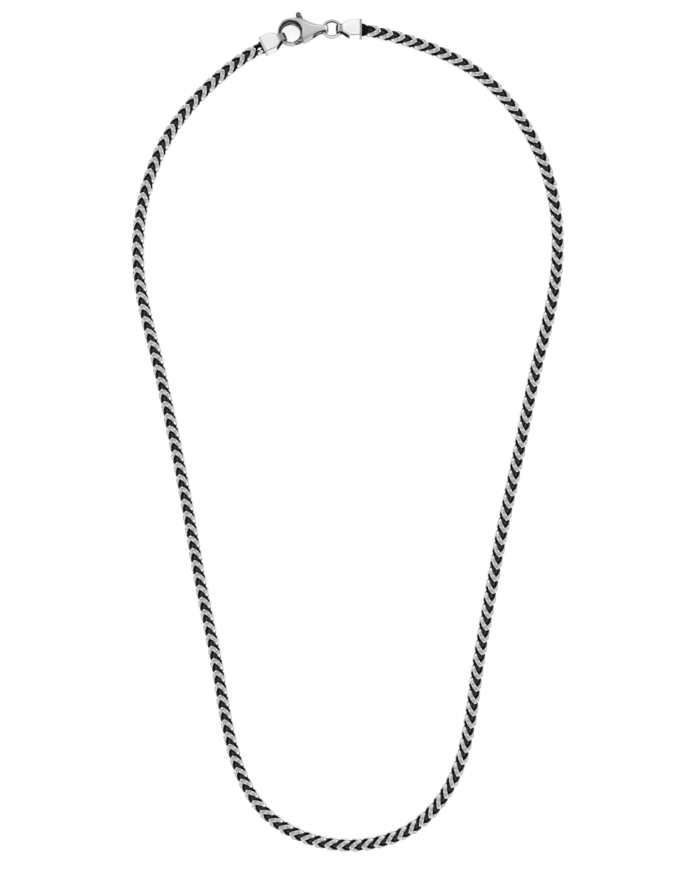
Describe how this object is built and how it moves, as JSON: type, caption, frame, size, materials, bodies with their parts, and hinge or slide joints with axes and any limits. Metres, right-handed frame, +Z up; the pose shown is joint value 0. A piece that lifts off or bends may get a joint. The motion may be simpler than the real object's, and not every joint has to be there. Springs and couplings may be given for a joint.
{
  "type": "fishbone chain necklace",
  "caption": "Square chain of interlocked V-shaped links with end caps, a jump ring and a lobster clasp, fastened and lying flat as a closed loop.",
  "frame": {"origin": "on the surface that the necklace lies on, under the middle of the whole loop", "axes": "+Z up from the surface, +Y from the bottom of the loop towards its clasp, +X towards the right end cap"},
  "size_m": [0.1081, 0.21, 0.0049],
  "materials": {
    "links": "silver, polished on the raised arms and blackened in the recesses",
    "caps": "silver, satin",
    "ring": "silver, polished",
    "clasp": "silver, satin, darker inside the hook",
    "lever": "silver, blackened and worn"
  },
  "bodies": {
    "necklace": {"chain": "links", "end_cap_left": "caps", "end_cap_right": "caps", "jump_ring": "ring", "clasp_body": "clasp"},
    "lever": {"clasp_lever": "lever"}
  },
  "joints": [
    {"name": "lever_pivot", "type": "hinge", "parent": "necklace", "child": "lever", "pos_m": [-0.0108, 0.09825, 0.00269], "axis": [0, -0.2419, -0.9703], "range_deg": [0, 22], "stiffness_Nm_per_rad": 0.02, "springref_deg": -22.92}
  ]
}
